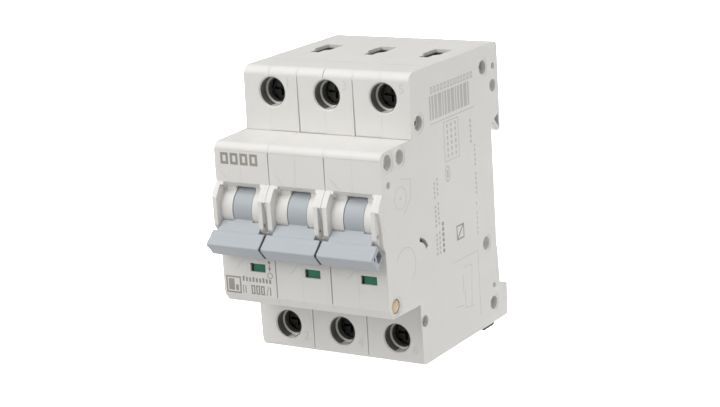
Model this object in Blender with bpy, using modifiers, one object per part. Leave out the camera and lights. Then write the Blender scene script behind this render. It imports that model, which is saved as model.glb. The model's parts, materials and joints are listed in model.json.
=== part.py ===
"""Three-pole miniature circuit breaker for a 35 mm top-hat rail, shown switched off.

Frame: X runs across the poles, the front faces -Y and +Z is up. The origin is the middle of the rail
seat, the flat back face that bears on the rail. Sizes below are in millimetres; MM turns them into metres.
A point written (y, z) lies in the side plane, and a point written (x, y) or (x, z) is counted from the
middle of one pole.
"""

import math

import bmesh
import bpy
from mathutils import Matrix, Vector

MM = 0.001

# The device.
PITCH = 17.5
POLES = (1, 2, 3)
HALF_WIDTH = 8.625
HEIGHT = 80.0
TOP = HEIGHT / 2
BACK = 5.5
BLOCK_FRONT = -44.0
PANEL_FRONT = -60.4
COLLAR_TOP = 22.3
COLLAR_BOTTOM = -22.5

# The parting plane of the two half shells of a pole.
SEAM = -0.3
SEAM_GAP = 0.1
SIDE_WALL = 1.4
FRONT_WALL = 1.5

# Rail hook, seat and lip. The seat is raised between the hook and the clips.
SEAT_TOP = 14.2
SEAT_BOTTOM = -15.3
SEAT_RELIEF = 0.2
RAIL_SPACE_BOTTOM = -18.4
LOWER_BACK = 0.95
HOOK_BOTTOM = 14.5

# Terminals: the screw axis stands slightly off the middle of the pole.
TERMINAL_X = 0.45
TERMINAL_Z = 33.1
SCREW_HOLE_RADIUS = 4.0
CAGE_HALF_WIDTH = 4.3
CAGE_WALL = 0.9

# Handle: its axis, drum and the lever's angle below the horizontal when off.
AXIS_Y = -55.4
AXIS_Z = 3.8
DRUM_RADIUS = 6.0
DRUM_HALF_WIDTH = 3.0
CHEEK_RADIUS = 6.1
HANDLE_OFF_ANGLE = 34.4
SLOT_HALF_WIDTH = 3.15
GUARD_INNER = 7.5
GUARD_OUTER = 8.3
NECK_HALF_WIDTH = 7.35
BAR_HALF_WIDTH = 8.5

# Switch-position flag and its window.
WINDOW_X = 3.1
WINDOW_HALF_WIDTH = 2.35
WINDOW_BOTTOM = -13.2
WINDOW_TOP = -11.0

# Mechanism.
CONTACT_PIVOT = (-43.0, -7.0)
CONTACT_ANGLE = 16.0
LEVER_PIVOT = (-40.0, 6.0)
COIL_Z = 12.5
COIL_RADIUS = 4.4
COIL_WIRE = 0.8
COIL_TURNS = 5
COIL_FRONT = -20.5
COIL_BACK = -9.5

# Recesses in the outer side faces: (y, z), radius, depth.
SIDE_RECESSES = (
    ((-3.45, 34.1), 1.95, 2.0),
    ((2.5, 33.5), 0.9, 1.2),
    ((2.0, 28.0), 1.8, 2.0),
    ((-40.1, 26.1), 2.0, 2.0),
    ((-50.7, 19.4), 2.0, 2.0),
    ((-57.0, 19.3), 2.0, 2.0),
    ((-57.2, 13.3), 0.9, 1.1),
    ((-56.8, -19.4), 2.0, 1.2),
    ((-42.1, -27.9), 1.6, 2.0),
    ((-5.8, -15.8), 1.9, 2.0),
    ((-2.1, -29.1), 0.8, 1.2),
    ((-2.8, -34.2), 1.95, 2.0),
)

# Through rivets: name, (y, z), depth of each end below the outer side face.
RIVETS = (
    ("rivet_upper_rear", (-3.45, 34.1), 1.3),
    ("rivet_upper_front", (-40.1, 26.1), 1.3),
    ("rivet_collar", (-56.8, -19.4), 0.5),
    ("rivet_lower_front", (-42.1, -27.9), 1.3),
    ("rivet_lower_rear", (-2.8, -34.2), 1.3),
)
RIVET_RADIUS = 1.1
RIVET_BORE = 1.35
RIVET_WALL = 0.35
RIVET_HEAD_RADIUS = 1.45
RIVET_HEAD = 0.5

BEYOND = 1.0  # how far a cutter runs past the face that it opens


# ---------------------------------------------------------------- outlines


def arc(centre, radius, start, end, steps):
    """Points along an arc, angles in degrees from the first axis towards the second."""
    angles = [math.radians(start + (end - start) * i / steps) for i in range(steps + 1)]
    return [(centre[0] + radius * math.cos(a), centre[1] + radius * math.sin(a)) for a in angles]


def rounded(corners, steps=3):
    """A closed outline from (first, second, radius) corners, each with its own rounding."""
    outline = []
    for index, (first, second, radius) in enumerate(corners):
        here = Vector((first, second))
        if radius == 0:
            outline.append((first, second))
            continue
        back = (Vector(corners[index - 1][:2]) - here).normalized()
        ahead = (Vector(corners[(index + 1) % len(corners)][:2]) - here).normalized()
        half = back.angle(ahead) / 2
        centre = here + (back + ahead).normalized() * (radius / math.sin(half))
        start = here + back * (radius / math.tan(half)) - centre
        end = here + ahead * (radius / math.tan(half)) - centre
        turn = start.angle_signed(end)
        for step in range(steps + 1):
            spot = centre + Matrix.Rotation(-turn * step / steps, 2) @ start
            outline.append(tuple(spot))
    return outline


def box_outline(first_low, second_low, first_high, second_high):
    return [
        (first_low, second_low),
        (first_high, second_low),
        (first_high, second_high),
        (first_low, second_high),
    ]


def lever_point(reach, rise):
    """(y, z) of a point on the handle when off: reach along the lever, rise towards the on side."""
    angle = math.radians(HANDLE_OFF_ANGLE)
    y = AXIS_Y - reach * math.cos(angle) - rise * math.sin(angle)
    z = AXIS_Z - reach * math.sin(angle) + rise * math.cos(angle)
    return y, z


# ---------------------------------------------------------------- modelling helpers


def clear_scene():
    for obj in list(bpy.data.objects):
        bpy.data.objects.remove(obj)


def new_collection(name):
    collection = bpy.data.collections.new(name)
    bpy.context.scene.collection.children.link(collection)
    return collection


def material(name, colour, roughness, metallic=0.0):
    made = bpy.data.materials.new(name)
    made.use_nodes = True
    shader = made.node_tree.nodes["Principled BSDF"]
    shader.inputs["Base Color"].default_value = (*colour, 1.0)
    shader.inputs["Roughness"].default_value = roughness
    shader.inputs["Metallic"].default_value = metallic
    return made


def evaluated_mesh(obj):
    graph = bpy.context.evaluated_depsgraph_get()
    return bpy.data.meshes.new_from_object(obj.evaluated_get(graph))


def weld(mesh):
    shape = bmesh.new()
    shape.from_mesh(mesh)
    bmesh.ops.remove_doubles(shape, verts=shape.verts, dist=0.000001)
    shape.to_mesh(mesh)
    shape.free()


TO_AXIS = {
    "X": Matrix(((0, 0, 1), (1, 0, 0), (0, 1, 0))).to_4x4(),
    "Y": Matrix(((1, 0, 0), (0, 0, -1), (0, 1, 0))).to_4x4(),
    "Z": Matrix.Identity(4),
}


def prism(name, outlines, low, high, axis="X"):
    """A flat outline made solid along an axis, from low to high. More outlines than one leave holes."""
    curve = bpy.data.curves.new(name, "CURVE")
    curve.dimensions = "2D"
    curve.fill_mode = "BOTH"
    curve.extrude = (high - low) / 2 * MM
    for outline in outlines:
        spline = curve.splines.new("POLY")
        spline.points.add(len(outline) - 1)
        for point, (first, second) in zip(spline.points, outline):
            point.co = (first * MM, second * MM, 0, 1)
        spline.use_cyclic_u = True
    guide = bpy.data.objects.new(name, curve)
    bpy.context.scene.collection.objects.link(guide)
    middle = (low + high) / 2 * MM
    if axis == "Y":
        middle = -middle
    guide.matrix_world = TO_AXIS[axis] @ Matrix.Translation((0, 0, middle))
    mesh = evaluated_mesh(guide)
    mesh.transform(guide.matrix_world)
    weld(mesh)
    mesh.name = name
    bpy.data.objects.remove(guide)
    return bpy.data.objects.new(name, mesh)


def solid_from(name, shape):
    mesh = bpy.data.meshes.new(name)
    shape.to_mesh(mesh)
    shape.free()
    return bpy.data.objects.new(name, mesh)


def cylinder(name, centre, radius, low, high, axis="X", sides=24):
    """A round bar along an axis. centre is its place in the other two axes, in their order."""
    spots = {
        "X": ((low + high) / 2, *centre),
        "Y": (centre[0], (low + high) / 2, centre[1]),
        "Z": (*centre, (low + high) / 2),
    }
    turns = {
        "X": Matrix.Rotation(math.pi / 2, 4, "Y"),
        "Y": Matrix.Rotation(math.pi / 2, 4, "X"),
        "Z": Matrix.Identity(4),
    }
    shape = bmesh.new()
    bmesh.ops.create_cone(
        shape,
        cap_ends=True,
        segments=sides,
        radius1=radius * MM,
        radius2=radius * MM,
        depth=(high - low) * MM,
        matrix=Matrix.Translation(Vector(spots[axis]) * MM) @ turns[axis],
    )
    return solid_from(name, shape)


def box(name, low, high):
    """A box between two corners, in millimetres."""
    size = [(b - a) * MM for a, b in zip(low, high)]
    middle = [(a + b) / 2 * MM for a, b in zip(low, high)]
    shape = bmesh.new()
    bmesh.ops.create_cube(shape, size=1, matrix=Matrix.Translation(middle) @ Matrix.Diagonal((*size, 1)))
    return solid_from(name, shape)


def shape_with(base, operation, helpers, helper_collection):
    """base with the helpers cut away or joined on, as plain mesh. The helpers stay as hidden objects."""
    bpy.context.scene.collection.objects.link(base)
    for helper in helpers:
        if helper.name not in helper_collection.objects:
            helper_collection.objects.link(helper)
        helper.hide_render = True
        helper.display_type = "WIRE"
        modifier = base.modifiers.new(helper.name, "BOOLEAN")
        modifier.operation = operation
        modifier.solver = "EXACT"
        modifier.object = helper
    mesh = evaluated_mesh(base)
    weld(mesh)
    base.modifiers.clear()
    base.data = mesh
    bpy.context.scene.collection.objects.unlink(base)
    return base


def place(name, shape, parts, finish, pole=None, pivot=None):
    """A named sub-part made from a shape and moved to its pole, with its origin on its pivot (x, y, z)."""
    mesh = shape.data.copy()
    mesh.name = name
    mesh.materials.clear()
    mesh.materials.append(finish)
    across = 0.0 if pole is None else (pole - 2) * PITCH
    spot = Vector(pivot if pivot else (0, 0, 0)) * MM
    mesh.transform(Matrix.Translation(-spot))
    mesh.shade_smooth()
    mesh.set_sharp_from_angle(angle=math.radians(30))
    made = bpy.data.objects.new(name, mesh)
    made.location = spot + Vector((across * MM, 0, 0))
    parts.objects.link(made)
    return made


# ---------------------------------------------------------------- half shells


def side_outline():
    """The shell's outline seen from the side, clockwise from the top rear corner as (y, z, rounding)."""
    return rounded(
        [
            (BACK, TOP, 0.6),
            (BACK, HOOK_BOTTOM, 0.4),
            (4.3, HOOK_BOTTOM, 0),
            (0.6, 18.2, 0),
            (-SEAT_RELIEF, 18.2, 0),
            (-SEAT_RELIEF, SEAT_TOP, 0),
            (0.0, SEAT_TOP, 0),
            (0.0, SEAT_BOTTOM, 0),
            (-SEAT_RELIEF, SEAT_BOTTOM, 0),
            (-SEAT_RELIEF, RAIL_SPACE_BOTTOM, 0),
            (LOWER_BACK, RAIL_SPACE_BOTTOM, 0),
            (LOWER_BACK, -29.3, 0),
            (BACK, -30.4, 0.3),
            (BACK, -39.3, 0),
            (4.8, -TOP, 0),
            (BLOCK_FRONT, -TOP, 1.2),
            (BLOCK_FRONT, COLLAR_BOTTOM, 0),
            (-58.7, COLLAR_BOTTOM, 0.8),
            (PANEL_FRONT, -19.9, 0.5),
            (PANEL_FRONT, COLLAR_TOP, 2.0),
            (BLOCK_FRONT, COLLAR_TOP, 0),
            (BLOCK_FRONT, TOP, 2.3),
        ]
    )


def hook_web_outline():
    """The triangular hole that leaves the springy web of the rail hook."""
    return [(4.5, 19.6), (2.1, 18.3), (4.5, 15.6)]


def mechanism_outline():
    return [
        (-48.5, -16.0),
        (-48.5, 16.0),
        (-43.0, 20.8),
        (-2.2, 20.8),
        (-2.2, -13.2),
        (-8.6, -13.2),
        (-8.6, -23.6),
        (-42.0, -23.6),
    ]


def line_chamber_outline():
    return [(-42.3, 29.3), (-37.2, 29.3), (-36.2, 26.0), (-8.5, 26.0), (-8.5, 38.6), (-42.3, 38.6)]


def load_chamber_outline():
    return [(-42.4, -31.2), (-39.4, -31.2), (-38.4, -26.0), (-8.5, -26.0), (-8.5, -38.6), (-42.4, -38.6)]


def handle_recess_outline():
    """The shallow space around the handle, open to the front, where the drum and its cheeks stand."""
    floor_y, slope = PANEL_FRONT + 1.6, 1.6
    top, bottom = AXIS_Z + 7.7, AXIS_Z - 7.7
    return [
        (PANEL_FRONT - BEYOND, top),
        (PANEL_FRONT, top),
        (floor_y, top - slope),
        (floor_y, bottom + slope),
        (PANEL_FRONT, bottom),
        (PANEL_FRONT - BEYOND, bottom),
    ]


def guard_outline():
    """The rib that stands beside the handle."""
    return [
        (-58.0, 11.9),
        (PANEL_FRONT, 11.5),
        (-61.9, 9.7),
        (-63.2, 7.6),
        (-63.2, 0.0),
        (-61.8, -2.1),
        (PANEL_FRONT, -3.8),
        (-58.0, -4.3),
    ]


def wire_entry_outline():
    """The keyhole-shaped wire entry, as (x, y): a wide wire space with a narrow slot for a busbar pin."""
    wide, narrow = 3.85, 1.7
    right = [(wide, -10.5), (wide, -18.0), (narrow, -19.7), (narrow, -23.5)]
    left = [(-x, y) for x, y in reversed(right)]
    return [(TERMINAL_X + x, y) for x, y in right + left]


def shell_cutters():
    """The helpers that hollow both half shells of a pole."""
    inner = HALF_WIDTH - SIDE_WALL
    past = HALF_WIDTH + BEYOND
    opened = TOP + BEYOND
    cutters = [
        prism("mechanism_chamber", [mechanism_outline()], -inner, inner),
        prism("line_chamber", [line_chamber_outline()], -inner, inner),
        prism("load_chamber", [load_chamber_outline()], -inner, inner),
        box("drum_slot", (-SLOT_HALF_WIDTH, -62, AXIS_Z - 6.3), (SLOT_HALF_WIDTH, -48, AXIS_Z + 6.3)),
        cylinder("axle_bore", (AXIS_Y, AXIS_Z), 1.8, -5.3, 5.3, sides=16),
        box("flag_pocket", (SEAM, PANEL_FRONT + FRONT_WALL, -17.6), (6.0, -57.6, -5.9)),
        box(
            "flag_window",
            (WINDOW_X - WINDOW_HALF_WIDTH, PANEL_FRONT - BEYOND, WINDOW_BOTTOM),
            (WINDOW_X + WINDOW_HALF_WIDTH, PANEL_FRONT + FRONT_WALL + 0.1, WINDOW_TOP),
        ),
        prism("line_wire_entry", [wire_entry_outline()], 38, opened, "Z"),
        prism("load_wire_entry", [wire_entry_outline()], -opened, -38, "Z"),
        box("line_plate_slot", (-2.8, -25.2, 20), (3.7, -22.6, 27)),
        box("load_plate_slot", (-2.8, -25.2, -27), (3.7, -22.6, -23)),
        box("clip_channel", (-4.8, LOWER_BACK, -opened), (4.8, 4.6, -28)),
        prism("curved_side_slot", [side_slot_outline()], inner - BEYOND, past),
    ]
    for sign in (-1, 1):
        screw_spot = (TERMINAL_X, sign * TERMINAL_Z)
        name = "line_screw_hole" if sign > 0 else "load_screw_hole"
        cutters.append(
            cylinder(name, screw_spot, SCREW_HOLE_RADIUS, BLOCK_FRONT - BEYOND, -42, "Y", sides=32)
        )
    for name, spot, _ in RIVETS:
        cutters.append(cylinder(name + "_bore", spot, RIVET_BORE, -past, past, sides=12))
    for index, (spot, radius, depth) in enumerate(SIDE_RECESSES):
        sides = 16 if radius > 1 else 10
        for side, sign in (("left", -1), ("right", 1)):
            low, high = sorted((sign * (HALF_WIDTH - depth), sign * past))
            cutters.append(cylinder(f"{side}_recess_{index}", spot, radius, low, high, sides=sides))
    return cutters


def side_slot_outline():
    """The short curved slot in the side wall, a band of an arc about a point below its rear end."""
    centre, inside, outside = (-43.6, -9.9), 3.9, 5.7
    return arc(centre, outside, 30, 78, 5) + arc(centre, inside, 78, 30, 5)


def half_shell(side, cutters, helpers):
    """One hollow half of a pole's housing, with its handle guard and its cheek beside the handle drum."""
    sign = -1 if side == "left" else 1
    low, high = sorted((sign * HALF_WIDTH, SEAM + sign * SEAM_GAP / 2))
    shell = prism(f"{side}_blank", [side_outline(), hook_web_outline()], low, high)
    recess_reach = GUARD_INNER + 0.3
    recess = prism(f"{side}_handle_recess", [handle_recess_outline()], -recess_reach, recess_reach)
    shell = shape_with(shell, "DIFFERENCE", [recess], helpers)
    guard_span = sorted((sign * GUARD_INNER, sign * GUARD_OUTER))
    guard = prism(f"{side}_guard", [guard_outline()], *guard_span)
    cheek_span = sorted((sign * SLOT_HALF_WIDTH, sign * (GUARD_INNER + 0.2)))
    cheek = cylinder(f"{side}_cheek", (AXIS_Y, AXIS_Z), CHEEK_RADIUS, *cheek_span, sides=40)
    shell = shape_with(shell, "UNION", [guard, cheek], helpers)
    reaches = []
    for cutter in cutters:
        across = [vertex.co.x / MM for vertex in cutter.data.vertices]
        if min(across) < high and max(across) > low:
            reaches.append(cutter)
    return shape_with(shell, "DIFFERENCE", reaches, helpers)


# ---------------------------------------------------------------- handle and flag


def toggle_handle(helpers):
    """A lever with a hollow bar, on a drum with two stub axles."""
    bar_outline = [
        lever_point(9.45, 0.62),
        lever_point(11.26, 0.2),
        lever_point(14.67, 0.0),
        lever_point(14.1, -4.87),
        lever_point(9.6, -3.46),
        lever_point(9.35, -1.5),
    ]
    hollow_outline = [
        lever_point(10.3, -0.7),
        lever_point(12.0, -0.95),
        lever_point(13.1, -3.75),
        lever_point(10.4, -2.95),
    ]
    neck_outline = [
        lever_point(6.4, 1.12),
        lever_point(10.0, 0.46),
        lever_point(10.0, -3.2),
        lever_point(6.4, -2.0),
    ]
    root_outline = [
        lever_point(4.0, 1.5),
        lever_point(7.0, 1.0),
        lever_point(7.0, -2.1),
        lever_point(4.0, -2.1),
    ]
    axis = (AXIS_Y, AXIS_Z)
    drum = cylinder("handle_drum", axis, DRUM_RADIUS, -DRUM_HALF_WIDTH, DRUM_HALF_WIDTH, sides=40)
    bar = prism("handle_bar", [bar_outline], -BAR_HALF_WIDTH, BAR_HALF_WIDTH)
    neck = prism("handle_neck", [neck_outline], -NECK_HALF_WIDTH, NECK_HALF_WIDTH)
    root = prism("handle_root", [root_outline], -DRUM_HALF_WIDTH, DRUM_HALF_WIDTH)
    axle = cylinder("handle_axle", axis, 1.6, -5.0, 5.0, sides=16)
    solid = shape_with(drum, "UNION", [root, neck, bar, axle], helpers)
    past = BAR_HALF_WIDTH + BEYOND
    hollow = prism("handle_hollow", [hollow_outline], -past, past)
    return shape_with(solid, "DIFFERENCE", [hollow], helpers)


def handle_tie_bar():
    """The bar inside the three hollow handles, which makes them move as one."""
    outline = [
        lever_point(10.7, -1.05),
        lever_point(11.75, -1.25),
        lever_point(12.6, -3.25),
        lever_point(10.75, -2.7),
    ]
    reach = PITCH + BAR_HALF_WIDTH - 1.5
    return prism("tie_bar", [outline], -reach, reach)


def position_flag():
    low = (0.3, -58.6, -16.9)
    high = (5.7, -57.9, -10.1)
    return box("flag", low, high)


# ---------------------------------------------------------------- terminals and rail clip


def terminal_screw(sign, helpers):
    """A cross-slotted screw along Y, with its head behind the screw hole and its shank in the clamp cage."""
    spot = (TERMINAL_X, sign * TERMINAL_Z)
    head = cylinder(f"screw_head_{sign}", spot, 3.35, -38.8, -36.2, "Y", sides=24)
    shank = cylinder(f"screw_shank_{sign}", spot, 2.2, -36.4, -24.8, "Y", sides=12)
    solid = shape_with(head, "UNION", [shank], helpers)
    long, short = 2.4, 0.45
    slots = [
        box(
            f"screw_slot_{sign}_{index}",
            (spot[0] - wide, -39.5, spot[1] - tall),
            (spot[0] + wide, -37.4, spot[1] + tall),
        )
        for index, (wide, tall) in enumerate(((long, short), (short, long)))
    ]
    return shape_with(solid, "DIFFERENCE", slots, helpers)


def clamp_cage(sign, helpers):
    """The lift clamp: a ring around the wire space, with the screw's thread in its front wall."""
    front, back = -31.4, -9.0
    outer = box_outline(TERMINAL_X - CAGE_HALF_WIDTH, front, TERMINAL_X + CAGE_HALF_WIDTH, back)
    inside = CAGE_HALF_WIDTH - CAGE_WALL
    inner = box_outline(TERMINAL_X - inside, front + 1.6, TERMINAL_X + inside, back - 1.2)
    low, high = sorted((sign * 28.9, sign * 37.3))
    ring = prism(f"cage_ring_{sign}", [outer, inner], low, high, "Z")
    spot = (TERMINAL_X, sign * TERMINAL_Z)
    thread = cylinder(f"cage_thread_{sign}", spot, 2.45, front - BEYOND, front + 2.2, "Y", sides=12)
    return shape_with(ring, "DIFFERENCE", [thread], helpers)


def rail_clip():
    """The spring slide behind the rail's lower edge, with a foot that a screwdriver pulls down."""
    outline = rounded(
        [
            (1.3, -15.6, 0),
            (2.0, -15.6, 0),
            (4.2, -18.8, 0),
            (4.2, -40.8, 0),
            (4.6, -41.3, 0),
            (4.6, -43.6, 0.8),
            (-2.3, -43.6, 0.9),
            (-2.3, -40.4, 0.5),
            (1.3, -40.4, 0),
        ]
    )
    return prism("rail_clip", [outline], -4.5, 4.5)


# ---------------------------------------------------------------- conductors and trip parts


def line_terminal_plate():
    outline = [(-24.5, 36.0), (-23.3, 36.0), (-23.3, 19.9), (-8.5, 19.9), (-8.5, 18.7), (-24.5, 18.7)]
    return prism("line_plate", [outline], -2.3, 3.2)


def fixed_contact():
    """The plate from the coil down to the fixed contact, and on to the arc chute as the arc runner."""
    outline = [
        (-9.5, 5.8),
        (-9.5, 4.6),
        (-23.6, 4.6),
        (-23.6, -2.6),
        (-12.0, -4.6),
        (-12.0, -5.6),
        (-24.2, -3.6),
        (-27.4, -3.6),
        (-27.4, -2.4),
        (-24.8, -2.4),
        (-24.8, 5.8),
    ]
    return prism("fixed_contact", [outline], -2.5, 2.5)


def contact_arm(helpers):
    """The moving contact in the off position: a hub on the pivot, an arm to the rear and a contact pad."""
    closed = [
        (-43.5, -8.0),
        (-24.9, -6.2),
        (-24.9, -5.0),
        (-25.0, -4.1),
        (-27.0, -4.1),
        (-27.2, -5.0),
        (-43.5, -6.0),
    ]
    turn = Matrix.Rotation(math.radians(-CONTACT_ANGLE), 2)
    pivot = Vector(CONTACT_PIVOT)
    outline = [tuple(pivot + turn @ (Vector(point) - pivot)) for point in closed]
    arm = prism("contact_arm", [outline], -1.6, 1.6)
    hub = cylinder("contact_hub", CONTACT_PIVOT, 2.4, -3.0, 3.0, sides=20)
    return shape_with(arm, "UNION", [hub], helpers)


def arc_chute():
    """A stack of splitter plates on a rear spine."""
    spine_front, spine_back, front = -10.4, -9.2, -22.4
    low, plates, thick, step = -20.4, 6, 0.9, 2.2
    outline = [(spine_back, low), (spine_back, low + step * (plates - 1) + thick)]
    for index in reversed(range(plates)):
        bottom = low + step * index
        outline += [(front, bottom + thick), (front, bottom)]
        if index:
            outline += [(spine_front, bottom), (spine_front, bottom - step + thick)]
    return prism("arc_chute", [outline], -5.5, 5.5)


def trip_coil():
    """A few turns of thick wire around the plunger."""
    steps_per_turn = 10
    curve = bpy.data.curves.new("trip_coil", "CURVE")
    curve.dimensions = "3D"
    curve.bevel_depth = COIL_WIRE * MM
    curve.bevel_resolution = 1
    curve.use_fill_caps = True
    spline = curve.splines.new("POLY")
    count = steps_per_turn * COIL_TURNS
    spline.points.add(count)
    for index, point in enumerate(spline.points):
        angle = 2 * math.pi * index / steps_per_turn
        y = COIL_FRONT + (COIL_BACK - COIL_FRONT) * index / count
        x = COIL_RADIUS * math.sin(angle)
        z = COIL_Z + COIL_RADIUS * math.cos(angle)
        point.co = (x * MM, y * MM, z * MM, 1)
    guide = bpy.data.objects.new("trip_coil", curve)
    bpy.context.scene.collection.objects.link(guide)
    mesh = evaluated_mesh(guide)
    weld(mesh)
    bpy.data.objects.remove(guide)
    return bpy.data.objects.new("trip_coil_shape", mesh)


def coil_plunger(helpers):
    core = cylinder("plunger_core", (0, COIL_Z), 2.6, -21.0, -7.0, "Y", sides=16)
    pin = cylinder("plunger_pin", (0, COIL_Z), 1.1, -37.4, -20.8, "Y", sides=10)
    return shape_with(core, "UNION", [pin], helpers)


def trip_lever():
    outline = [
        (-41.2, 7.4),
        (-39.4, 14.6),
        (-38.0, 14.6),
        (-38.6, 5.2),
        (-40.0, 4.2),
        (-46.7, 2.6),
        (-46.7, 4.0),
        (-41.6, 5.7),
    ]
    return prism("trip_lever", [outline], -2.2, 2.2)


def bimetal_strip():
    return box("bimetal", (-2.2, -47.9, -14.6), (2.2, -47.2, 4.4))


def load_terminal_plate():
    outline = [
        (-24.5, -36.0),
        (-24.5, -22.8),
        (-41.6, -22.8),
        (-46.9, -16.3),
        (-46.9, -13.0),
        (-46.0, -13.0),
        (-46.0, -16.0),
        (-41.2, -21.6),
        (-23.3, -21.6),
        (-23.3, -36.0),
    ]
    return prism("load_plate", [outline], -2.3, 3.2)


def rivet(name, spot, depth):
    """A tubular rivet across all poles, turned about its axis, with a rolled head at each end."""
    end = PITCH + HALF_WIDTH - depth
    bore = RIVET_RADIUS - RIVET_WALL
    outer = [
        (bore, end),
        (RIVET_HEAD_RADIUS, end),
        (RIVET_HEAD_RADIUS, end - RIVET_HEAD),
        (RIVET_RADIUS, end - RIVET_HEAD),
    ]
    profile = outer + [(radius, -height) for radius, height in reversed(outer)]
    mesh = bpy.data.meshes.new(name)
    ring = bmesh.new()
    corners = [ring.verts.new((radius * MM, 0, height * MM)) for radius, height in profile]
    for index, corner in enumerate(corners):
        ring.edges.new((corner, corners[(index + 1) % len(corners)]))
    ring.to_mesh(mesh)
    ring.free()
    turned = bpy.data.objects.new(name, mesh)
    bpy.context.scene.collection.objects.link(turned)
    screw = turned.modifiers.new("turned", "SCREW")
    screw.axis = "Z"
    screw.steps = screw.render_steps = 12
    screw.use_merge_vertices = True
    screw.merge_threshold = 0.000001
    shape = evaluated_mesh(turned)
    bpy.data.objects.remove(turned)
    shape.transform(Matrix.Rotation(math.pi / 2, 4, "Y"))
    shape.transform(Matrix.Translation((0, spot[0] * MM, spot[1] * MM)))
    return bpy.data.objects.new(name + "_shape", shape)


# ---------------------------------------------------------------- assembly


def build():
    clear_scene()
    parts = new_collection("circuit_breaker")
    helpers = new_collection("cutters")

    housing = material("housing", (0.74, 0.73, 0.70), 0.45)
    toggle = material("toggle", (0.40, 0.45, 0.52), 0.4)
    flag_green = material("flag_green", (0.02, 0.13, 0.06), 0.45)
    clip_black = material("clip_black", (0.02, 0.02, 0.025), 0.45)
    steel = material("steel", (0.50, 0.50, 0.50), 0.35, 1.0)
    copper = material("copper", (0.72, 0.36, 0.22), 0.35, 1.0)
    brass = material("brass", (0.62, 0.45, 0.25), 0.4, 1.0)
    inner_plastic = material("inner_plastic", (0.08, 0.08, 0.09), 0.5)
    handle_axis = (0, AXIS_Y, AXIS_Z)

    cutters = shell_cutters()
    shells = {side: half_shell(side, cutters, helpers) for side in ("left", "right")}
    handle = toggle_handle(helpers)
    flag = position_flag()
    terminals = {"line": 1, "load": -1}
    screws = {end: terminal_screw(sign, helpers) for end, sign in terminals.items()}
    cages = {end: clamp_cage(sign, helpers) for end, sign in terminals.items()}
    clip = rail_clip()
    fixed_pieces = {
        "line_terminal_plate": (line_terminal_plate(), copper),
        "load_terminal_plate": (load_terminal_plate(), copper),
        "fixed_contact": (fixed_contact(), copper),
        "arc_chute": (arc_chute(), steel),
        "trip_coil": (trip_coil(), copper),
        "bimetal_strip": (bimetal_strip(), steel),
    }
    arm = contact_arm(helpers)
    plunger = coil_plunger(helpers)
    lever = trip_lever()

    for pole in POLES:
        for side, shell in shells.items():
            place(f"{side}_shell_pole_{pole}", shell, parts, housing, pole)
        place(f"toggle_handle_pole_{pole}", handle, parts, toggle, pole, handle_axis)
        place(f"position_flag_pole_{pole}", flag, parts, flag_green, pole, (3.0, -58.25, -13.5))
        for end, sign in terminals.items():
            axis_point = (TERMINAL_X, -36.0, sign * TERMINAL_Z)
            place(f"{end}_terminal_screw_pole_{pole}", screws[end], parts, steel, pole, axis_point)
            place(f"{end}_clamp_cage_pole_{pole}", cages[end], parts, steel, pole, axis_point)
        place(f"rail_clip_pole_{pole}", clip, parts, clip_black, pole, (0, 2.7, -30))
        for name, (shape, finish) in fixed_pieces.items():
            place(f"{name}_pole_{pole}", shape, parts, finish, pole)
        place(f"contact_arm_pole_{pole}", arm, parts, copper, pole, (0, *CONTACT_PIVOT))
        place(f"coil_plunger_pole_{pole}", plunger, parts, steel, pole, (0, -20, COIL_Z))
        place(f"trip_lever_pole_{pole}", lever, parts, inner_plastic, pole, (0, *LEVER_PIVOT))

    place("handle_tie_bar", handle_tie_bar(), parts, toggle, pivot=handle_axis)
    for name, spot, depth in RIVETS:
        place(name, rivet(name, spot, depth), parts, brass)


build()
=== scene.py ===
"""Looks of the three-pole circuit breaker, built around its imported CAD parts.

X runs across the poles, the front faces -Y and +Z is up. Sizes are in millimetres unless a name says
otherwise; MM turns them into metres. A pole's own points are counted from the middle of that pole.
"""

import json
import math

import bmesh
import bpy
from mathutils import Matrix, Vector

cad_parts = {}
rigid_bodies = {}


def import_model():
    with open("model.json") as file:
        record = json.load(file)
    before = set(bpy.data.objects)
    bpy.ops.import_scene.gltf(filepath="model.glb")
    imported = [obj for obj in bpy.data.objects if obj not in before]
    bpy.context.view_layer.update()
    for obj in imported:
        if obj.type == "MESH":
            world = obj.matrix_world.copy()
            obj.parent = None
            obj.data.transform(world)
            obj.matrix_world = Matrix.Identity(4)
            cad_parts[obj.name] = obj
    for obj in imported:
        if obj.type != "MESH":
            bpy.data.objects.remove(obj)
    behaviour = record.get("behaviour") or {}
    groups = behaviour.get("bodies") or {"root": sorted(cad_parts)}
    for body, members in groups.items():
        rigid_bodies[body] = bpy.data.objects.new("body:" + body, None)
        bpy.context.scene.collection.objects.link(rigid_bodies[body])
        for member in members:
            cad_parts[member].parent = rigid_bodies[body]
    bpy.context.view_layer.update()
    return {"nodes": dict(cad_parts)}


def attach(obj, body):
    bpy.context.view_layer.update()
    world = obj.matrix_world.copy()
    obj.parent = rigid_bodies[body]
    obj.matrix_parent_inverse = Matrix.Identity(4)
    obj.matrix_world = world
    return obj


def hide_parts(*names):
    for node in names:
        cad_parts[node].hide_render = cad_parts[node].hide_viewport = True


MM = 0.001

PITCH = 17.5
POLES = (1, 2, 3)
HALF_WIDTH = 8.605
JOINED_HALF_WIDTH = 8.73
TOP = 40.0
BACK = 5.5
BLOCK_FRONT = -44.0
PANEL_FRONT = -60.4
SEAM = -0.3
SEAM_GAP = 0.008
SIDE_WALL = 1.4
OUTER_ROUND = 0.32
PRINT_BACK = PITCH + HALF_WIDTH - 0.01
PRINT_FACE = PITCH + HALF_WIDTH + 0.017

FLAG_FRONT = -59.85
FLAG_JOIN = -13.7

TERMINAL_X = 0.45
TERMINAL_Z = 33.1
HOLE_RADIUS = 4.0
HOLE_FLOOR = -41.1
BORE_RADIUS = 3.4
BORE_END = -38.9

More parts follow.
